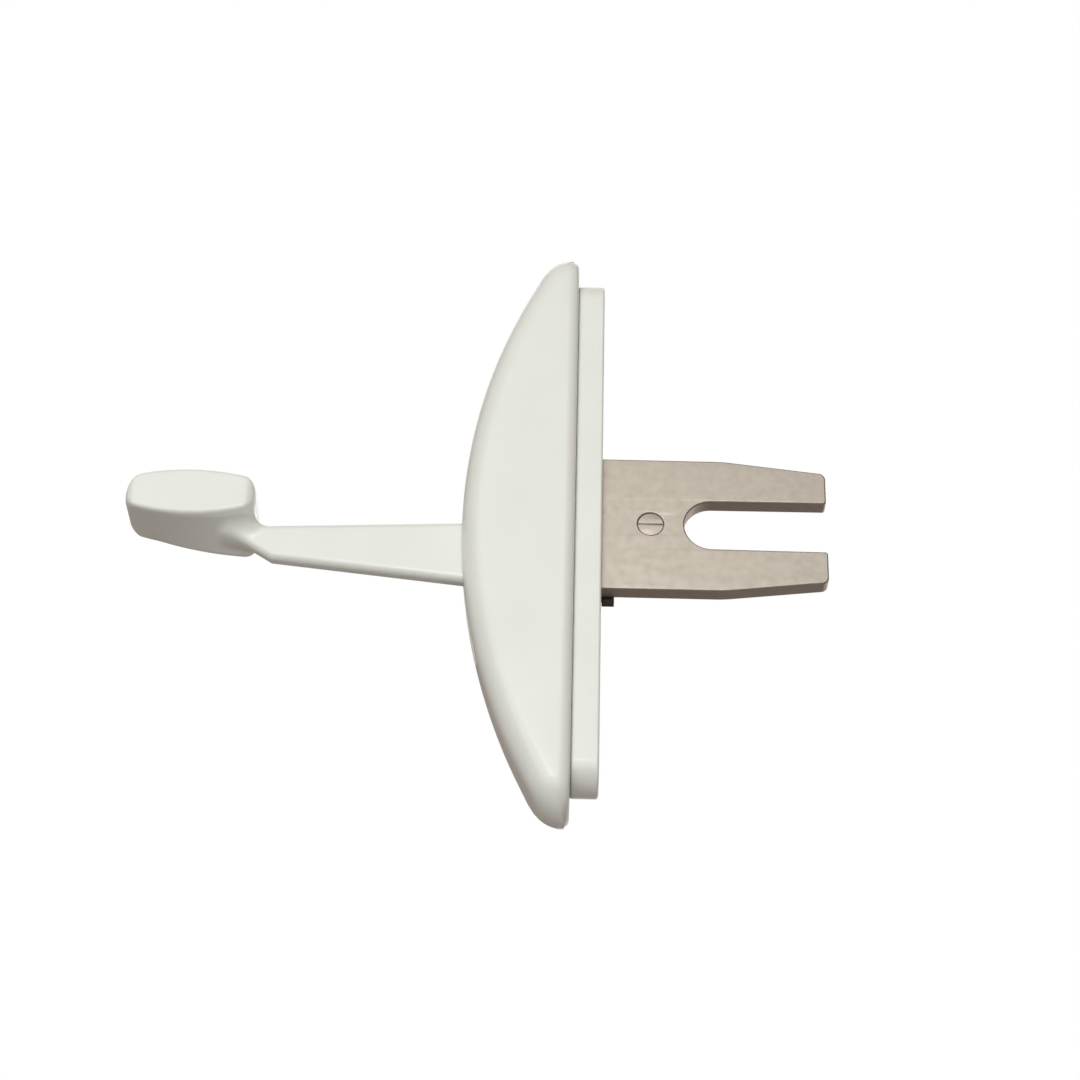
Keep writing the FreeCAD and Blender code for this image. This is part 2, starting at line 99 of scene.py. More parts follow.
def add_piece(name, vertices, faces, smooth_angle=40):
    """New object from points in millimetres, with doubled points merged and smooth faces."""
    mesh = bpy.data.meshes.new(name)
    mesh.from_pydata((np.asarray(vertices, float) * MM).tolist(), [], faces)
    edit = bmesh.new()
    edit.from_mesh(mesh)
    bmesh.ops.remove_doubles(edit, verts=edit.verts, dist=MERGE_DISTANCE * MM)
    bmesh.ops.dissolve_degenerate(edit, edges=edit.edges, dist=SHORTEST_EDGE * MM)
    bmesh.ops.recalc_face_normals(edit, faces=edit.faces)
    edit.to_mesh(mesh)
    edit.free()
    mesh.shade_smooth()
    mesh.set_sharp_from_angle(angle=math.radians(smooth_angle))
    piece = bpy.data.objects.new(name, mesh)
    bpy.context.collection.objects.link(piece)
    return piece


def weight_normals(piece):
    """Large flat faces keep their own normal beside a rounded edge."""
    modifier = piece.modifiers.new("weighted_normals", "WEIGHTED_NORMAL")
    modifier.keep_sharp = True
    modifier.weight = 100


def mount(piece, body, material, slot, *nodes):
    """Gives a piece its material, says what it rides on and hides the imported parts it stands for.
    """
    piece.data.materials.append(material)
    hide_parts(*nodes)
    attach(piece, body)
    return piece


def arc_points(centre, radius, start, end, count):
    """Points on a circle arc, from start to end in degrees."""
    angles = np.radians(np.linspace(start, end, count))
    return np.stack([centre[0] + radius * np.cos(angles),
                     centre[1] + radius * np.sin(angles)], -1)


def circle(centre, radius, count=48):
    return arc_points(centre, radius, 0, 360, count + 1)[:-1]


def rounded_corner(before, corner, after, radius, count=7):
    """Arc that rounds the corner between two straight runs."""
    before, corner, after = (np.asarray(p, float) for p in (before, corner, after))
    to_before = (before - corner) / np.linalg.norm(before - corner)
    to_after = (after - corner) / np.linalg.norm(after - corner)
    half_angle = math.acos(np.clip(to_before @ to_after, -1, 1)) / 2
    bisector = (to_before + to_after) / np.linalg.norm(to_before + to_after)
    centre = corner + bisector * radius / math.sin(half_angle)
    start = corner + to_before * radius / math.tan(half_angle) - centre
    end = corner + to_after * radius / math.tan(half_angle) - centre
    turns = np.linspace(0, 1, count)[:, None]
    blend = start * (1 - turns) + end * turns
    return centre + radius * blend / np.linalg.norm(blend, axis=1, keepdims=True)


def rounded_outline(corners, radii):
    """Closed outline through corners, each rounded by its own radius, or left sharp at 0."""
    points = []
    for i, radius in enumerate(radii):
        before, corner, after = corners[i - 1], corners[i], corners[(i + 1) % len(corners)]
        if radius:
            points.extend(rounded_corner(before, corner, after, radius))
        else:
            points.append(np.asarray(corner, float))
    return np.array(points)


def signed_area(loop):
    after = np.roll(loop, -1, axis=0)
    return 0.5 * np.sum(loop[:, 0] * after[:, 1] - after[:, 0] * loop[:, 1])


def inset_directions(loop):
    """At each point, the move that brings both neighbouring sides in by one."""
    before = loop - np.roll(loop, 1, axis=0)
    after = np.roll(loop, -1, axis=0) - loop
    normals = []
    for side in (before, after):
        side = side / np.linalg.norm(side, axis=1, keepdims=True)
        normals.append(np.stack([-side[:, 1], side[:, 0]], -1))
    total = normals[0] + normals[1]
    return 2 * total / np.sum(total * total, axis=1, keepdims=True)


def plate(outline, holes, low, high, rounding, steps=4):
    """Flat plate with holes. Returns points (u, v, height) and faces. Every rim is rounded."""
    loops = [outline if signed_area(outline) > 0 else outline[::-1]]
    loops += [hole if signed_area(hole) < 0 else hole[::-1] for hole in holes]
    turns = np.radians(np.linspace(0, 90, steps + 1))
    levels = [(rounding * (1 - math.sin(t)), low + rounding * (1 - math.cos(t))) for t in turns]
    levels += [(inset, high + low - height) for inset, height in reversed(levels)]
    points, faces, rims = [], [], ([], [])
    for loop in loops:
        inward = inset_directions(loop)
        first, count = len(points), len(loop)
        for inset, height in levels:
            moved = loop + inward * inset
            points.extend([(u, v, height) for u, v in moved])
        for level in range(len(levels) - 1):
            for i in range(count):
                a = first + level * count + i
                b = first + level * count + (i + 1) % count
                faces.append((a, b, b + count, a + count))
        rims[0].append(list(range(first, first + count)))
        rims[1].append(list(range(first + (len(levels) - 1) * count, first + len(levels) * count)))
    for rim in rims:
        flat = [i for loop in rim for i in loop]
        shape = [[Vector((points[i][0], points[i][1], 0)) for i in loop] for loop in rim]
        faces.extend([tuple(flat[i] for i in face) for face in tessellate_polygon(shape)])
    return points, faces


def upright_plate(name, outline, holes, y_low, y_high, rounding):
    """Plate in the XZ plane with its thickness along Y."""
    points, faces = plate(outline, holes, y_low, y_high, rounding)
    piece = add_piece(name, [(u, y, v) for u, v, y in points], faces)
    weight_normals(piece)
    return piece


def joined(parts):
    """Points and faces of several closed parts as one list of each."""
    points, faces = [], []
    for part_points, part_faces in parts:
        faces += [tuple(len(points) + i for i in face) for face in part_faces]
        points += list(part_points)
    return points, faces


def lathe(profile, x, z, count=64):
    """Turns (radius, y) points about an axis along Y. Returns points and faces."""
    points, faces = [], []
    for radius, y in profile:
        for turn in np.linspace(0, 2 * math.pi, count, endpoint=False):
            points.append((x + radius * math.cos(turn), y, z + radius * math.sin(turn)))
    for ring in range(len(profile) - 1):
        for i in range(count):
            a, b = ring * count + i, ring * count + (i + 1) % count
            faces.append((a, b, b + count, a + count))
    return points, faces


# --- distance fields for the cast lever -------------------------------------------------
def smooth_union(a, b, radius):
    share = np.clip(0.5 + 0.5 * (b - a) / radius, 0, 1)
    return b * (1 - share) + a * share - radius * share * (1 - share)


def round_common(a, b, radius):
    """Common part of two solids, with the edge between them rounded."""
    over = np.hypot(np.maximum(a + radius, 0), np.maximum(b + radius, 0))
    return np.minimum(np.maximum(a, b), -radius) + over


def half_plane(x, z, start, end):
    """Distance outside the line from start to end, with the solid on its left."""
    along = np.subtract(end, start) / math.dist(start, end)
    return (x - start[0]) * along[1] - (z - start[1]) * along[0]


def surface_mesh(distance, low, high, cell, rounds=3):
    """Quads on the surface where distance(points) is zero, evened out and set on it."""
    counts = [int(math.ceil((h - l) / cell)) + 1 for l, h in zip(low, high)]
    axes = [l + cell * np.arange(n) for l, n in zip(low, counts)]
    grid = np.stack(np.meshgrid(*axes, indexing="ij"), -1)
    inside = distance(grid.reshape(-1, 3)).reshape(counts) < 0
    cells = [n - 1 for n in counts]
    filled = np.zeros(cells, int)
    for i in range(2):
        for j in range(2):
            for k in range(2):
                filled += inside[i:i + cells[0], j:j + cells[1], k:k + cells[2]]
    active = (filled > 0) & (filled < 8)
    index = np.full(cells, -1)
    index[active] = np.arange(active.sum())
    points = np.argwhere(active) * cell + np.array(low) + cell / 2
    quads = []
    for axis in range(3):
        b, c = [k for k in range(3) if k != axis]
        step_b, step_c = np.eye(3, dtype=int)[b], np.eye(3, dtype=int)[c]
        here = inside.take(range(counts[axis] - 1), axis)
        there = inside.take(range(1, counts[axis]), axis)
        for leaving in (True, False):
            at = np.argwhere((here != there) & (here == leaving))
            at = at[(at[:, b] > 0) & (at[:, c] > 0)]
            at = at[(at[:, b] < cells[b]) & (at[:, c] < cells[c])]
            ring = [at - step_b - step_c, at - step_c, at, at - step_b]
            quad = np.stack([index[tuple(p.T)] for p in ring], -1)
            quads.append(quad if leaving != (axis == 1) else quad[:, ::-1])
    quads = np.concatenate(quads)
    for _ in range(rounds):
        points = set_on_surface(distance, points)
        total = np.zeros_like(points)
        share = np.zeros(len(points))
        for i in range(4):
            np.add.at(total, quads[:, i], points[quads[:, i - 1]] + points[quads[:, i - 3]])
            np.add.at(share, quads[:, i], 2)
        points = total / share[:, None]
    return set_on_surface(distance, points), quads.tolist()


def set_on_surface(distance, points, steps=4, probe=0.01):
    """Moves points along the distance field's slope until they lie on the surface."""
    for _ in range(steps):
        value = distance(points)
        slope = np.stack([distance(points + probe * axis) - distance(points - probe * axis)
                          for axis in np.eye(3)], -1) / (2 * probe)
        steepness = np.maximum(np.sum(slope * slope, axis=1), 0.25)
        points = points - slope * (value / steepness)[:, None]
    return points


# --- materials --------------------------------------------------------------------------
def new_material(name, **values):
    """Principled material with constant values set on the shader's own sockets."""
    material = bpy.data.materials.new(name)
    material.use_nodes = True
    shader = material.node_tree.nodes["Principled BSDF"]
    for socket, value in values.items():
        shader.inputs[socket.replace("_", " ")].default_value = value
    return material


def link(material, source, target):
    material.node_tree.links.new(source, target)


def noise(material, scale, detail=3, stretch=(1, 1, 1)):
    """Noise in the piece's own space, in cycles per metre along each axis."""
    nodes = material.node_tree.nodes
    place = nodes.new("ShaderNodeTexCoord")
    mapping = nodes.new("ShaderNodeMapping")
    mapping.inputs["Scale"].default_value = stretch
    link(material, place.outputs["Object"], mapping.inputs["Vector"])
    texture = nodes.new("ShaderNodeTexNoise")
    texture.inputs["Scale"].default_value = scale
    texture.inputs["Detail"].default_value = detail
    link(material, mapping.outputs["Vector"], texture.inputs["Vector"])
    return texture.outputs["Fac"]


def spread(material, source, low, high):
    """Maps a noise value, which mostly lies in the middle of its range, to low and high."""
    ramp = material.node_tree.nodes.new("ShaderNodeMapRange")
    ramp.inputs["From Min"].default_value = 0.3
    ramp.inputs["From Max"].default_value = 0.7
    ramp.inputs["To Min"].default_value = low
    ramp.inputs["To Max"].default_value = high
    link(material, source, ramp.inputs["Value"])
    return ramp.outputs["Result"]


def vary_colour(material, source, first, second):
    mix = material.node_tree.nodes.new("ShaderNodeMix")
    mix.data_type = "RGBA"
    mix.inputs[6].default_value = (*first, 1)
    mix.inputs[7].default_value = (*second, 1)
    link(material, spread(material, source, 0, 1), mix.inputs[0])
    link(material, mix.outputs[2], material.node_tree.nodes["Principled BSDF"].inputs["Base Color"])


def vary_roughness(material, source, low, high):
    shader = material.node_tree.nodes["Principled BSDF"]
    link(material, spread(material, source, low, high), shader.inputs["Roughness"])


def add_bumps(material, *layers):
    """Each layer is (height source, depth in metres)."""
    shader = material.node_tree.nodes["Principled BSDF"]
    normal = None
    for source, depth in layers:
        bump = material.node_tree.nodes.new("ShaderNodeBump")
        bump.inputs["Strength"].default_value = 1
        bump.inputs["Distance"].default_value = depth
        link(material, source, bump.inputs["Height"])
        if normal is not None:
            link(material, normal, bump.inputs["Normal"])
        normal = bump.outputs["Normal"]
    link(material, normal, shader.inputs["Normal"])


def paint_material():
    """Semi-gloss off-white powder coat with a faint orange peel."""
    paint = new_material("off_white_powder_coat", Metallic=0, IOR=1.5, Coat_Weight=0.15,
                         Coat_Roughness=0.12)
    vary_colour(paint, noise(paint, 90), (0.790, 0.802, 0.738), (0.815, 0.827, 0.763))
    vary_roughness(paint, noise(paint, 500), 0.28, 0.34)
    add_bumps(paint, (noise(paint, 650, detail=2), 0.000012),
              (noise(paint, 2600, detail=1), 0.000003))
    return paint


def nickel_material():
    """Satin, slightly warm nickel plate over rolled steel, with fine mottling."""
    nickel = new_material("satin_nickel", Metallic=1.0)
    vary_colour(nickel, noise(nickel, 420, detail=5), (0.392, 0.346, 0.292),
                (0.408, 0.362, 0.307))
    vary_roughness(nickel, noise(nickel, 700, detail=4), 0.42, 0.50)
    add_bumps(nickel, (noise(nickel, 1500, detail=4), 0.0000025),
              (noise(nickel, 900, detail=2, stretch=(0.15, 1, 3)), 0.000002))
    return nickel


def steel_material(name, dark, light, roughness, grain):
    """Bare or blackened steel. Grain is the depth of its surface in metres."""
    steel = new_material(name, Metallic=1.0)
    vary_colour(steel, noise(steel, 350, detail=4), dark, light)
    vary_roughness(steel, noise(steel, 800), roughness - 0.05, roughness + 0.07)
    add_bumps(steel, (noise(steel, 1500, detail=3), grain))
    return steel


def plastic_material(name, dark, light, roughness, grain):
    plastic = new_material(name, Metallic=0, IOR=1.48)
    vary_colour(plastic, noise(plastic, 300), dark, light)
    vary_roughness(plastic, noise(plastic, 900), roughness - 0.05, roughness + 0.05)
    add_bumps(plastic, (noise(plastic, 2200, detail=3), grain))
    return plastic


def make_materials():
    return {
        "painted_zinc": paint_material(),
        "nickel_steel": nickel_material(),
        "dark_steel": steel_material("dark_phosphated_steel", (0.055, 0.052, 0.047),
                                     (0.085, 0.080, 0.072), 0.48, 0.000006),
        "steel_pin": steel_material("turned_steel", (0.34, 0.33, 0.31), (0.42, 0.41, 0.39),
                                    0.42, 0.000003),
        "spring_steel": steel_material("blued_spring_steel", (0.20, 0.19, 0.20),
                                       (0.30, 0.28, 0.28), 0.32, 0.000003),
        "bronze_bush": steel_material("sintered_bronze", (0.42, 0.26, 0.12),
                                      (0.55, 0.36, 0.19), 0.45, 0.000010),
        "acetal": plastic_material("natural_acetal", (0.70, 0.69, 0.64), (0.76, 0.75, 0.70),
                                   0.40, 0.000004),
        "buffer_nylon": plastic_material("black_nylon", (0.018, 0.018, 0.018),
                                         (0.030, 0.030, 0.030), 0.50, 0.000008),
    }


# --- cover ------------------------------------------------------------------------------
COVER_FRONT_ROUND = 4.4
COVER_TIP_ROUND = 5.6           # the front edge is rounder at the tips
COVER_BACK_ROUND = (2.0, 1.35)  # along X and across the latch
COVER_RIM = 4.0                 # height of the tip's wall before the crown's arc
COVER_WALL = 1.5
COVER_TIP_WALL = 5.0
ARM_SLOT_HALF_WIDTH = 1.9
MIDDLE_COLUMN = 1.0             # column of points between the slot's side and the middle
ARM_SLOT_TOP = 13.6
ARM_SLOT_BOTTOM = -26.6
ARM_SLOT_CORNER = 0.8
ARM_SLOT_EDGE = 0.3
CAP_STEPS = 20                  # steps round a quarter of each tip
COVER_ROWS = (12, 22, 17)       # rows of points below, beside and above the slot
LIP_POINTS = 6
OUTER_EDGE_STEPS = 8
INNER_EDGE_STEPS = 5
SLOT_MARGIN = 0.01              # how near the slot's edge a point has to be to count as on it


class Crown:
    """One skin of the cover, outer or inner: a round-ended outline under one long arc."""

    def __init__(self, inset, tip_inset, front_round, tip_round):
        self.half_width = COVER_HIGH.y - inset
        self.half_length = COVER_HIGH.z - tip_inset
        self.straight = self.half_length - self.half_width
        depth = BASE_FRONT - COVER_LOW.x
        rise = depth - COVER_RIM
        self.radius = (COVER_HIGH.z ** 2 + rise ** 2) / (2 * rise) - inset
        self.top = depth - inset
        self.front_round = front_round
        self.tip_round = tip_round

    def height(self, z):
        """Height of the crown above the back edge."""
        return self.top - self.radius + math.sqrt(self.radius ** 2 - z ** 2)

    def slope(self, z):
        return -z / math.sqrt(self.radius ** 2 - z ** 2)

    def section(self, start, normal, steps):
        """Points (inward distance, height) of wall top, rounded edge and crown."""
        tipness = abs(normal[1])
        radius = self.front_round + (self.tip_round - self.front_round) * tipness
        reach = radius
        for _ in range(4):
            z = start[1] + normal[1] * reach
            rise = self.slope(z) * normal[1]
            tilt = math.atan(rise)
            setback = radius * (1 - math.sin(tilt)) / math.cos(tilt)
            reach = setback * math.cos(tilt)
        edge_height = self.height(start[1] + normal[1] * reach) - rise * reach
        turns = np.linspace(math.pi, math.pi / 2 + tilt, steps + 1)
        return [(radius + radius * math.cos(t), edge_height - setback + radius * math.sin(t))
                for t in turns]


def outline_stations(crown, rows):
    """Places round the outline, as (y, z) with the inward normal, sharing rows on both sides."""
    stations = [((crown.half_width, z), (-1.0, 0.0)) for z in rows]
    for sign in (1, -1):
        turns = np.linspace(0, math.pi, 2 * CAP_STEPS + 1)[1:-1]
        if sign < 0:
            stations += [((-crown.half_width, z), (1.0, 0.0)) for z in reversed(rows)]
        for t in turns:
            out = (sign * math.cos(t), sign * math.sin(t))
            centre = sign * crown.straight
            stations.append(((crown.half_width * out[0], centre + crown.half_width * out[1]),
                             (-out[0], -out[1])))
    return stations


def crown_skin(crown, rows, lip, inner_columns, edge_steps):
    """Columns of points from the lip, up the wall and over the crown to the middle line."""
    columns = []
    for start, normal in outline_stations(crown, rows):
        column = [(-h, start[0] + normal[0] * d, start[1] + normal[1] * d)
                  for d, h in lip + crown.section(start, normal, edge_steps)]
        for across in inner_columns:
            d = crown.half_width - across
            y, z = start[0] + normal[0] * d, start[1] + normal[1] * d
            column.append((-crown.height(z), y, z))
        columns.append([(BASE_FRONT + x, y, z) for x, y, z in column])
    return columns


def in_slot(points):
    tolerance = 1e-6
    return all(abs(y) <= ARM_SLOT_HALF_WIDTH + tolerance
               and ARM_SLOT_BOTTOM - tolerance <= z <= ARM_SLOT_TOP + tolerance
               for _, y, z in points)


def skin_faces(columns, first):
    """Quads between neighbouring columns, leaving out the arm's slot."""
    faces = []
    rows = len(columns[0])
    for i, column in enumerate(columns):
        other = columns[(i + 1) % len(columns)]
        for j in range(rows - 1):
            corners = [column[j], other[j], other[j + 1], column[j + 1]]
            if not in_slot(corners):
                a = first + i * rows + j
                b = first + ((i + 1) % len(columns)) * rows + j
                faces.append((a, b, b + 1, a + 1))
    return faces


def slot_rim(crown, rows):
    """The slot's outline on one skin, as points in order."""
    side = [z for z in rows if ARM_SLOT_BOTTOM <= z <= ARM_SLOT_TOP]
    across = (MIDDLE_COLUMN, 0.0, -MIDDLE_COLUMN)
    rim = [(ARM_SLOT_HALF_WIDTH, z) for z in side] + [(y, side[-1]) for y in across]
    rim += [(-ARM_SLOT_HALF_WIDTH, z) for z in reversed(side)]
    rim += [(-y, side[0]) for y in across]
    return [(BASE_FRONT - crown.height(z), y, z) for y, z in rim]


def cover_rows(straight):
    """Heights of the rows of points, with rows at both ends of the arm's slot."""
    below, beside, above = COVER_ROWS
    rows = list(np.linspace(-straight, ARM_SLOT_BOTTOM, below)[:-1])
    rows += list(np.linspace(ARM_SLOT_BOTTOM, ARM_SLOT_TOP, beside))
    rows += list(np.linspace(ARM_SLOT_TOP, straight, above)[1:])
    return rows


def back_lip():
    """Rounded back edge, as (inset, height) from the back face up to the wall."""
    depth, across = COVER_BACK_ROUND
    turns = np.radians(np.linspace(0, 90, LIP_POINTS))
    return [(across * (1 - math.sin(t)), depth * (1 - math.cos(t))) for t in turns]


def back_faces(outer_skin, inner_skin):
    """Flat back edge between the first points of the two skins."""
    tall, short, count = len(outer_skin[0]), len(inner_skin[0]), len(outer_skin)
    inner_first = count * tall
    faces = []
    for i in range(count):
        j = (i + 1) % count
        faces.append((i * tall, j * tall, inner_first + j * short, inner_first + i * short))
    return faces


def make_cover(material):
    outer = Crown(0, 0, COVER_FRONT_ROUND, COVER_TIP_ROUND)
    inner = Crown(COVER_WALL, COVER_TIP_WALL, COVER_FRONT_ROUND - COVER_WALL,
                  COVER_FRONT_ROUND - COVER_WALL)
    rows = cover_rows(min(outer.straight, inner.straight))
    across = (ARM_SLOT_HALF_WIDTH, MIDDLE_COLUMN, 0.0)
    outer_skin = crown_skin(outer, rows, back_lip(), across, OUTER_EDGE_STEPS)
    inner_skin = crown_skin(inner, rows, [(0, 0)], across, INNER_EDGE_STEPS)
    points = [p for column in outer_skin + inner_skin for p in column]
    faces = skin_faces(outer_skin, 0)
    faces += [face[::-1] for face in skin_faces(inner_skin, len(outer_skin) * len(outer_skin[0]))]
    faces += back_faces(outer_skin, inner_skin)
    rims = [slot_rim(outer, rows), slot_rim(inner, rows)]
    first, count = len(points), len(rims[0])
    points += rims[0] + rims[1]
    for i in range(count):
        j = (i + 1) % count
        faces.append((first + i, first + j, first + count + j, first + count + i))
    cover = add_piece("cover_shell", points, faces)
    round_slot(cover)
    weight_normals(cover)
    return mount(cover, "housing", material, "painted_zinc", "cover")


def round_slot(cover):
    """Rounds the slot's corners, then its rims."""
    edit = bmesh.new()
    edit.from_mesh(cover.data)
    uprights = [e for e in edit.edges if is_slot_upright(e)]
    bmesh.ops.bevel(edit, geom=uprights, offset=ARM_SLOT_CORNER * MM, segments=4,
                    affect="EDGES", profile=0.5)
    rim = [e for e in edit.edges if len(e.link_faces) == 2 and is_slot_rim(e)]
    bmesh.ops.bevel(edit, geom=rim, offset=ARM_SLOT_EDGE * MM, segments=3,
                    affect="EDGES", profile=0.5)
    bmesh.ops.recalc_face_normals(edit, faces=edit.faces)
    edit.to_mesh(cover.data)
    edit.free()
    cover.data.shade_smooth()
    cover.data.set_sharp_from_angle(angle=math.radians(40))


def is_slot_upright(edge):
    a, b = (v.co / MM for v in edge.verts)
    at_corner = all(abs(abs(p.y) - ARM_SLOT_HALF_WIDTH) < SLOT_MARGIN
                    and min(abs(p.z - ARM_SLOT_TOP), abs(p.z - ARM_SLOT_BOTTOM)) < SLOT_MARGIN
                    for p in (a, b))
    return at_corner and abs(a.x - b.x) > COVER_WALL / 2


def is_slot_rim(edge):
    a, b = (v.co / MM for v in edge.verts)
    within = all(abs(p.y) < ARM_SLOT_HALF_WIDTH + SLOT_MARGIN
                 and ARM_SLOT_BOTTOM - SLOT_MARGIN < p.z < ARM_SLOT_TOP + SLOT_MARGIN
                 for p in (a, b))
    return within and edge.calc_face_angle(0) > math.radians(50)


# --- base -------------------------------------------------------------------------------
BASE_EDGE_ROUND = 0.45
GROMMET_GAP = 0.02
EAR_INNER = 3.35                # half the room between the two ears
EAR_INSET = 0.45                # an ear's outer face lies in from the bar's side
EAR_ROUND = 0.2
EAR_SINK = 0.6                  # how far an ear's foot goes into the bar
BASE_SLOT_CORNER = 0.5


def make_base(material):
    half_width, half_length = BASE_HIGH.y, BASE_HIGH.z
    end = half_length - half_width
    bar = np.concatenate([arc_points((0, end), half_width, 0, 180, 41),
                          arc_points((0, -end), half_width, 180, 360, 41)])
    slot_half = BUFFER_HIGH.y
    slot_end = BUFFER_HIGH.z
    slot = rounded_outline([(slot_half, -slot_end), (slot_half, slot_end),
                            (-slot_half, slot_end), (-slot_half, -slot_end)],
                           [BASE_SLOT_CORNER] * 4)
    screw_radius = SCREW_MOUNT["dims"]["hole_r_mm"]
    screw_z = SCREW_MOUNT["dims"]["spacing_y_mm"] / 2
    grommet_radius = (GROMMET_HIGH.z - GROMMET_LOW.z) / 2
    grommet_z = (GROMMET_HIGH.z + GROMMET_LOW.z) / 2
    holes = [slot]
    for side in (-1, 1):
        holes.append(circle((0, side * screw_z), screw_radius))
        holes.append(circle((0, side * grommet_z), grommet_radius + GROMMET_GAP))
    flat, faces = plate(bar, holes, BASE_FRONT, 0, BASE_EDGE_ROUND)
    base = add_piece("base_bar", *joined([([(x, y, z) for y, z, x in flat], faces), *ears()]))
    weight_normals(base)
    return mount(base, "housing", material, "painted_zinc", "base")


def ears():
    """Two round-topped ears that hold the pivot pin, each with its foot in the bar."""
    radius, foot = PIVOT_X - BASE_LOW.x, BASE_FRONT + EAR_SINK
    outline = np.concatenate([arc_points((PIVOT_X, 0), radius, 90, 270, 33),
                              [(foot, -radius), (foot, radius)]])
    hole = circle((PIVOT_X, 0), (PIN_HIGH.x - PIN_LOW.x) / 2 + FIT_GAP)
    outer = BASE_HIGH.y - EAR_INSET
    parts = []
    for low, high in ((-outer, -EAR_INNER), (EAR_INNER, outer)):
        ear, faces = plate(outline, [hole], low, high, EAR_ROUND)
        parts.append(([(x, y, z) for x, z, y in ear], faces))
    return parts


# --- fork, tail plate and the visible rivet ---------------------------------------------
FORK_SLOT_HALF = 4.75
FORK_SLOT_BOTTOM = 14.2
FORK_TAPER_START = 21.0
FORK_TIP_HALF = 11.0
FORK_TIP_ROUND = 1.2
FORK_INNER_TIP_ROUND = 0.5
FORK_TAPER_ROUND = 25.0
FORK_EDGE_ROUND = 0.28
HUB_GAP = 0.1
RIVET_HOLE_GAP = 0.005
RIVET_SINK = 0.1
RIVET_SLIT_DEPTH = 0.22
RIVET_SLIT_HALF = 0.13
RIVET_EDGE_ROUND = 0.08
TAIL_SHOULDER = 2.3
TAIL_SHOULDER_BACK = 0.2
TAIL_TONGUE_HALF = 5.0
TAIL_TONGUE_ROUND = 3.0
TAIL_EDGE_ROUND = 0.15


def rivet_circle(low, high, side=1, gap=RIVET_HOLE_GAP):
    """Round hole for a rivet, given the rivet's box."""
    centre = ((low.x + high.x) / 2, side * (low.z + high.z) / 2)
    return circle(centre, (high.x - low.x) / 2 + gap)


def make_fork(material):
    half = FORK_HIGH.z
    slot = FORK_SLOT_HALF
    tip, root = FORK_HIGH.x, FORK_LOW.x
    hub_radius = LEVER_HIGH.x - PIVOT_X + HUB_GAP
    scallop = math.degrees(math.acos((root - PIVOT_X) / hub_radius))
    prongs = rounded_outline(
        [(tip, slot), (tip, FORK_TIP_HALF), (FORK_TAPER_START, half), (root, half)],
        [FORK_INNER_TIP_ROUND, FORK_TIP_ROUND, FORK_TAPER_ROUND, 0])
    lower = prongs[::-1] * (1, -1)
    around_hub = arc_points((PIVOT_X, 0), hub_radius, scallop, -scallop, 25)
    slot_end = arc_points((FORK_SLOT_BOTTOM + slot, 0), slot, 270, 90, 33)
    outline = np.concatenate([prongs, around_hub, lower, slot_end])
    holes = [rivet_circle(RIVET_LOW, RIVET_HIGH)]
    holes += [rivet_circle(INNER_RIVET_LOW, INNER_RIVET_HIGH, side) for side in (1, -1)]
    fork = upright_plate("fork_blade", outline, holes, FORK_LOW.y, FORK_HIGH.y, FORK_EDGE_ROUND)
    return mount(fork, "lever", material, "nickel_steel", "fork")


def make_tail_plate(material):
    half, shoulder, reach = FORK_HIGH.z, TAIL_HIGH.z, TAIL_HIGH.x
    root = FORK_LOW.x
    hub_radius = PIVOT_X - TAIL_LOW.x
    around_pin = arc_points((PIVOT_X, 0), hub_radius, 90, 270, 33)
    upper = [(root, half), (TAIL_SHOULDER_BACK, half), (TAIL_SHOULDER_BACK, shoulder),
             (TAIL_SHOULDER, shoulder), (TAIL_SHOULDER, TAIL_TONGUE_HALF),
             (reach, TAIL_TONGUE_HALF)]
    corners = [(x, -z) for x, z in upper] + upper[::-1]
    radii = [0, 0, 0, 0, 0, TAIL_TONGUE_ROUND, TAIL_TONGUE_ROUND, 0, 0, 0, 0, 0]
    outline = np.concatenate([around_pin, rounded_outline(corners, radii)])
    holes = [rivet_circle(RIVET_LOW, RIVET_HIGH),
             circle((PIVOT_X, 0), (BUSH_HIGH.x - BUSH_LOW.x) / 2 + FIT_GAP)]
    for side in (1, -1):
        holes.append(rivet_circle(INNER_RIVET_LOW, INNER_RIVET_HIGH, side, FIT_GAP))
        holes.append(rivet_circle(HUB_RIVET_LOW, HUB_RIVET_HIGH, side, FIT_GAP))
    tail = upright_plate("tail_splice", outline, holes, TAIL_LOW.y, TAIL_HIGH.y,
                         TAIL_EDGE_ROUND)
    return mount(tail, "lever", material, "dark_steel", "tail_plate")


def make_outer_rivet(material):
    """Flush rivet: its near end lies a little below the fork's face and has a fine slit."""
    radius = (RIVET_HIGH.x - RIVET_LOW.x) / 2
    x, near, far = (RIVET_HIGH.x + RIVET_LOW.x) / 2, RIVET_LOW.y + RIVET_SINK, RIVET_HIGH.y
    floor = near + RIVET_SLIT_DEPTH
    shank = [(0, floor), (radius, floor), (radius, far - RIVET_EDGE_ROUND),
             (radius - RIVET_EDGE_ROUND, far), (0, far)]
    parts = [lathe(shank, x, 0)]
    start = math.degrees(math.asin(RIVET_SLIT_HALF / radius))
    for turn in (0, 180):
        outline = arc_points((x, 0), radius, start + turn, 180 - start + turn, 33)
        half, faces = plate(outline, [], near, floor, RIVET_EDGE_ROUND)
        parts.append(([(px, py, pz) for px, pz, py in half], faces))
    rivet = add_piece("fork_rivet_head", *joined(parts))
    weight_normals(rivet)
    return mount(rivet, "lever", material, "nickel_steel", "fork_rivet_outer")


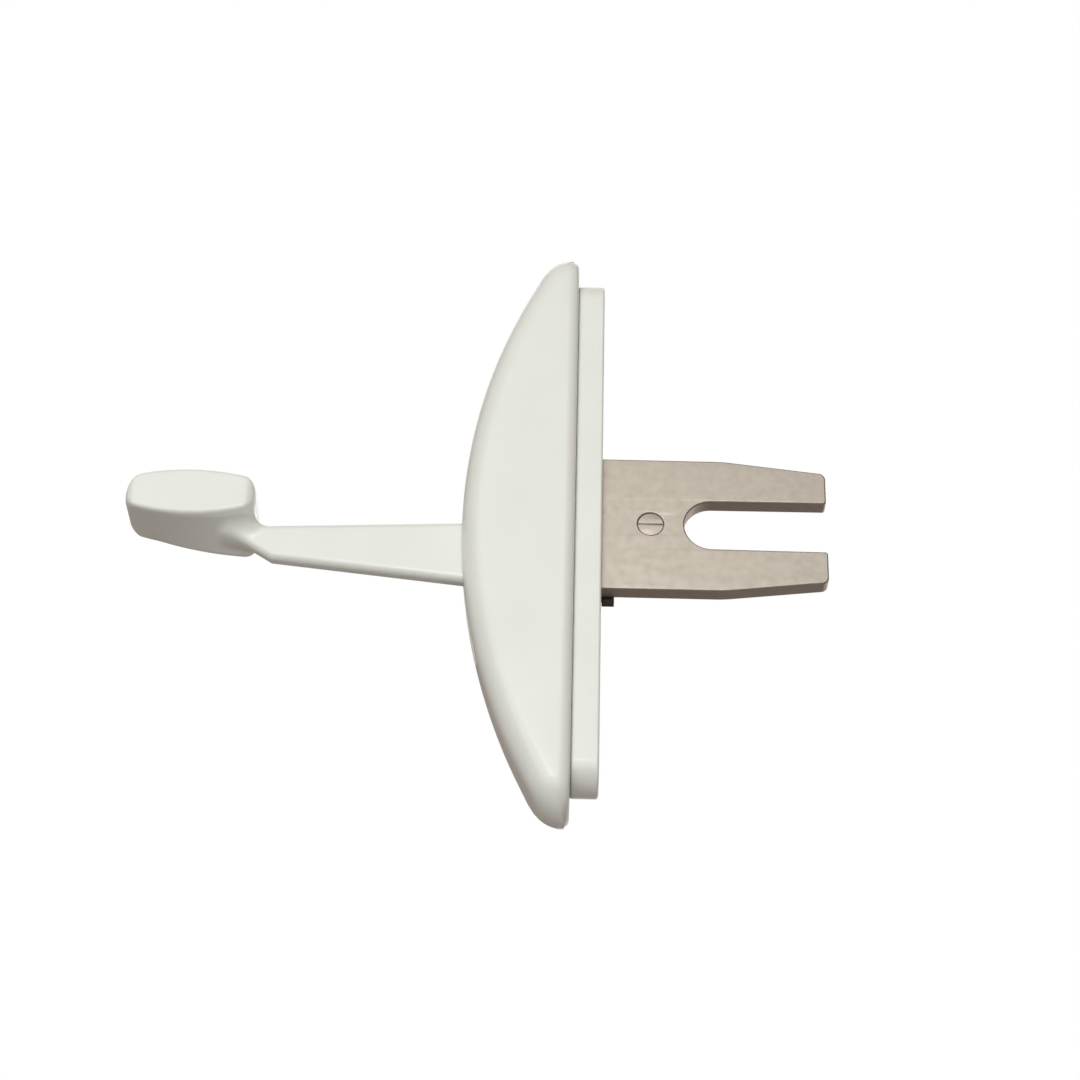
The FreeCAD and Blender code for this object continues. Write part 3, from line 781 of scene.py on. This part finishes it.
# --- lever ------------------------------------------------------------------------------
ARM_HALF_THICKNESS = 1.5
ARM_EDGE_ROUND = 1.2
ARM_TOP_INNER, ARM_TOP_OUTER = 0.3, -1.1
ARM_BOTTOM_INNER, ARM_BOTTOM_OUTER = -11.5, -7.9
ARM_OUTER_X = -56.6
KEEL_START = (-64.5, -2.9)      # where the arm's lower edge comes out of the pad
WEB_HEEL = (-19.5, -11.3)       # where the arm's lower edge turns up to the hub
HUB_EDGE_ROUND = 0.3
HUB_BLEND = 0.8
PAD_LENGTH = 22.8
PAD_FACE_TOP = 7.3              # near face: an oval between two arcs
PAD_FACE_END_TOP = 5.6
PAD_FACE_BELLY = -1.75
PAD_FACE_END_BELLY = 0.2
PAD_NOSE_ROUND = 3.2
PAD_HEEL_ROUND = 2.2
PAD_PLAN_ROUND = 2.2            # corners of the pad seen from above
PAD_EDGE_ROUND = 0.7
HULL_CHIN = 0.4                 # far rim of the underside, at its ends and middle
HULL_BELLY = -3.2
HULL_HEEL = -4.5
HULL_INSET = 0.25
HULL_SLOPE_WIDTH = 9.5
HULL_EDGE_ROUND = 1.1
HULL_BLEND = 0.4
ARM_BLEND = 2.8
LEVER_CELL = 0.24


def arc_side(x, z, start, middle, end):
    """Distance outside the circle through three points."""
    (ax, az), (bx, bz), (cx, cz) = start, middle, end
    scale = 2 * (ax * (bz - cz) + bx * (cz - az) + cx * (az - bz))
    a, b, c = ax ** 2 + az ** 2, bx ** 2 + bz ** 2, cx ** 2 + cz ** 2
    centre = ((a * (bz - cz) + b * (cz - az) + c * (az - bz)) / scale,
              (a * (cx - bx) + b * (ax - cx) + c * (bx - ax)) / scale)
    return np.hypot(x - centre[0], z - centre[1]) - math.dist(centre, start)


def plan_distance(x, y, inset):
    """Pad seen from above: a rectangle with round corners, brought in by the inset."""
    middle, half = LEVER_LOW.x + PAD_LENGTH / 2, PAD_LENGTH / 2
    return round_common(np.abs(x - middle) - half + inset,
                        np.abs(y) - LEVER_HIGH.y + inset, PAD_PLAN_ROUND)


def face_distance(x, y, z):
    """Thumb pad: oval from the side, with a rounded rim."""
    left, right = LEVER_LOW.x, LEVER_LOW.x + PAD_LENGTH
    middle = (left + right) / 2
    top = arc_side(x, z, (left, PAD_FACE_END_TOP), (middle, PAD_FACE_TOP),
                   (right, PAD_FACE_END_TOP))
    belly = arc_side(x, z, (left, PAD_FACE_END_BELLY), (middle, PAD_FACE_BELLY),
                     (right, PAD_FACE_END_BELLY))
    side = np.maximum(round_common(top, left - x, PAD_NOSE_ROUND),
                      round_common(top, x - right, PAD_HEEL_ROUND))
    side = np.maximum(side, round_common(belly, left - x, PAD_HEEL_ROUND))
    side = np.maximum(side, round_common(belly, x - right, PAD_HEEL_ROUND))
    return round_common(side, plan_distance(x, y, 0), PAD_EDGE_ROUND)


def hull_distance(x, y, z):
    """Underside of the pad: it slopes from the near rim down to the far one."""
    left, right = LEVER_LOW.x, LEVER_LOW.x + PAD_LENGTH
    middle = (left + right) / 2
    near = arc_side(x, z, (left, HULL_CHIN), (middle, PAD_FACE_BELLY),
                    (right, PAD_FACE_END_BELLY))
    far = arc_side(x, z, (left, HULL_CHIN), (middle, HULL_BELLY), (right, HULL_HEEL))
    share = np.clip((y - LEVER_LOW.y) / HULL_SLOPE_WIDTH, 0, 1)
    belly = near * (1 - share) + far * share
    bottom = round_common(belly, plan_distance(x, y, HULL_INSET), HULL_EDGE_ROUND)
    return np.maximum(bottom, z - PAD_FACE_END_TOP / 2)


def arm_distance(x, y, z):
    """Flat arm with rounded edges, from the hub out to a keel under the pad."""
    crown_x = COVER_LOW.x
    side = half_plane(x, z, (crown_x, ARM_TOP_INNER), (ARM_OUTER_X, ARM_TOP_OUTER))
    side = np.maximum(side, half_plane(x, z, (ARM_OUTER_X, ARM_BOTTOM_OUTER),
                                       (crown_x, ARM_BOTTOM_INNER)))
    side = np.maximum(side, half_plane(x, z, KEEL_START, (ARM_OUTER_X, ARM_BOTTOM_OUTER)))
    hub_radius = LEVER_HIGH.x - PIVOT_X
    side = np.maximum(side, half_plane(x, z, WEB_HEEL, (PIVOT_X, -hub_radius)))
    side = np.maximum(side, np.maximum(KEEL_START[0] - x, x - PIVOT_X))
    return round_common(side, np.abs(y) - ARM_HALF_THICKNESS, ARM_EDGE_ROUND)


def lever_distance(points):
    x, y, z = points.T
    pad = smooth_union(face_distance(x, y, z), hull_distance(x, y, z), HULL_BLEND)
    shape = smooth_union(pad, arm_distance(x, y, z), ARM_BLEND)
    from_pivot = np.hypot(x - PIVOT_X, z)
    hub_radius = LEVER_HIGH.x - PIVOT_X
    hub = round_common(from_pivot - hub_radius,
                       np.maximum(FORK_LOW.y - y, y - JOINT_PLANE), HUB_EDGE_ROUND)
    shape = smooth_union(shape, hub, HUB_BLEND)
    seat = np.maximum(from_pivot - hub_radius - HUB_GAP, JOINT_PLANE - y)
    shape = np.maximum(shape, -seat)
    shape = np.maximum(shape, (BUSH_HIGH.x - BUSH_LOW.x) / 2 - from_pivot)
    rivet_radius = (HUB_RIVET_HIGH.x - HUB_RIVET_LOW.x) / 2
    rivet_z = (HUB_RIVET_HIGH.z + HUB_RIVET_LOW.z) / 2
    for side in (1, -1):
        shape = np.maximum(shape, rivet_radius - np.hypot(x - PIVOT_X, z - side * rivet_z))
    return shape


def make_lever(material):
    margin = Vector((1, 1, 1))
    points, faces = surface_mesh(lever_distance, LEVER_LOW - margin, LEVER_HIGH + margin,
                                 LEVER_CELL)
    lever = add_piece("lever_casting", points, faces)
    return mount(lever, "lever", material, "painted_zinc", "lever")


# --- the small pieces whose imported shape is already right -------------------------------
def finish_small_pieces(materials):
    slots = {part["node"]: part["material_slot"] for part in frame["record"]["subparts"]}
    for name, node in frame["nodes"].items():
        if node.hide_render:
            continue
        node.data.materials.clear()
        node.data.materials.append(materials[slots[name]])


# --- studio -----------------------------------------------------------------------------
LENS_MM = 86.7
CAMERA_DISTANCE = 0.4491
CAMERA_AZIMUTH = 0.40
CAMERA_ELEVATION = -31.3
CAMERA_ROLL = 1.53
AIM_OFFSET = Vector((11.2, 0, -2.3)) * MM
FLOOR_GLOW = 0.76
FLOOR_HALF = 3000
FLOOR_DROP = 600                # floor below the lowest point, so that it can't block a view
ROOM_COLOUR = (1.0, 0.79, 0.69, 1)
ROOM_STRENGTH = 0.27
WHITE = (1, 1, 1, 1)
SOFTBOXES = (
    # name, direction from the object, distance and size in metres, power in watts, colour
    ("key", (-0.24, -1.0, 0.17), 0.75, 0.9, 5.05, (0.91, 0.975, 1.0)),
    ("spark", (-0.05, -1.0, 0.24), 0.6, 0.10, 0.4, (1, 1, 1)),
    ("top", (0.0, 0.8, 1.0), 0.6, 0.5, 0.7, (1, 1, 1)),
    ("fill", (0.6, 1.0, 0.3), 0.75, 0.9, 2.3, (0.95, 0.98, 1.0)),
)


def make_camera():
    low, high = CAD_BOX
    aim = (low + high) / 2 + AIM_OFFSET
    azimuth, elevation = math.radians(CAMERA_AZIMUTH), math.radians(CAMERA_ELEVATION)
    back = Vector((math.sin(azimuth) * math.cos(elevation),
                   -math.cos(azimuth) * math.cos(elevation), math.sin(elevation)))
    right = Vector((0, 0, 1)).cross(back).normalized()
    up = back.cross(right)
    roll = math.radians(CAMERA_ROLL)
    rolled_right = right * math.cos(roll) + up * math.sin(roll)
    rolled_up = back.cross(rolled_right)
    camera = bpy.data.objects.new("camera", bpy.data.cameras.new("camera"))
    camera.data.lens = LENS_MM
    camera.data.sensor_width = 36
    camera.data.clip_start = 0.01
    camera.matrix_world = (Matrix.Translation(aim + back * CAMERA_DISTANCE)
                           @ Matrix((rolled_right, rolled_up, back)).transposed().to_4x4())
    bpy.context.collection.objects.link(camera)
    bpy.context.scene.camera = camera


def add_softbox(name, direction, distance, size, power, colour):
    """Square area light that faces the object."""
    low, high = CAD_BOX
    centre = (low + high) / 2
    light = bpy.data.lights.new(name, "AREA")
    light.size = size
    light.energy = power
    light.color = colour
    softbox = bpy.data.objects.new(name, light)
    way = Vector(direction).normalized()
    softbox.location = centre + way * distance
    softbox.rotation_euler = way.to_track_quat("Z", "Y").to_euler()
    softbox.visible_camera = False
    bpy.context.collection.objects.link(softbox)


def make_world():
    """White backdrop for the camera; a dimmer, slightly warm room for the light."""
    world = bpy.data.worlds.new("studio")
    bpy.context.scene.world = world
    world.use_nodes = True
    nodes, links = world.node_tree.nodes, world.node_tree.links
    room = nodes["Background"]
    room.inputs["Color"].default_value = ROOM_COLOUR
    room.inputs["Strength"].default_value = ROOM_STRENGTH
    backdrop = nodes.new("ShaderNodeBackground")
    backdrop.inputs["Color"].default_value = WHITE
    backdrop.inputs["Strength"].default_value = 1.0
    path = nodes.new("ShaderNodeLightPath")
    mix = nodes.new("ShaderNodeMixShader")
    links.new(path.outputs["Is Camera Ray"], mix.inputs[0])
    links.new(room.outputs[0], mix.inputs[1])
    links.new(backdrop.outputs[0], mix.inputs[2])
    links.new(mix.outputs[0], nodes["World Output"].inputs["Surface"])


def floor_material():
    """Pale floor. It glows for the camera only, so that it's nearly as bright as the backdrop."""
    pale = new_material("pale_floor", Metallic=0, Roughness=0.8)
    vary_colour(pale, noise(pale, 2), (0.60, 0.60, 0.60), (0.62, 0.62, 0.62))
    nodes = pale.node_tree.nodes
    shader = nodes["Principled BSDF"]
    shader.inputs["Emission Color"].default_value = WHITE
    path = nodes.new("ShaderNodeLightPath")
    glow = nodes.new("ShaderNodeMath")
    glow.operation = "MULTIPLY"
    glow.inputs[1].default_value = FLOOR_GLOW
    link(pale, path.outputs["Is Camera Ray"], glow.inputs[0])
    link(pale, glow.outputs[0], shader.inputs["Emission Strength"])
    return pale


def make_floor():
    low, _ = CAD_BOX
    half, z = FLOOR_HALF, low.z / MM - FLOOR_DROP
    corners = [(-half, -half, z), (half, -half, z), (half, half, z), (-half, half, z)]
    floor = add_piece("floor", corners, [(0, 1, 2, 3)])
    floor.data.materials.append(floor_material())


# --- build ------------------------------------------------------------------------------
MATERIALS = make_materials()
make_camera()
make_cover(MATERIALS["painted_zinc"])
make_base(MATERIALS["painted_zinc"])
make_lever(MATERIALS["painted_zinc"])
make_fork(MATERIALS["nickel_steel"])
make_tail_plate(MATERIALS["dark_steel"])
make_outer_rivet(MATERIALS["nickel_steel"])
finish_small_pieces(MATERIALS)

make_world()
make_floor()
for softbox in SOFTBOXES:
    add_softbox(*softbox)
bpy.context.scene.view_settings.view_transform = "Standard"
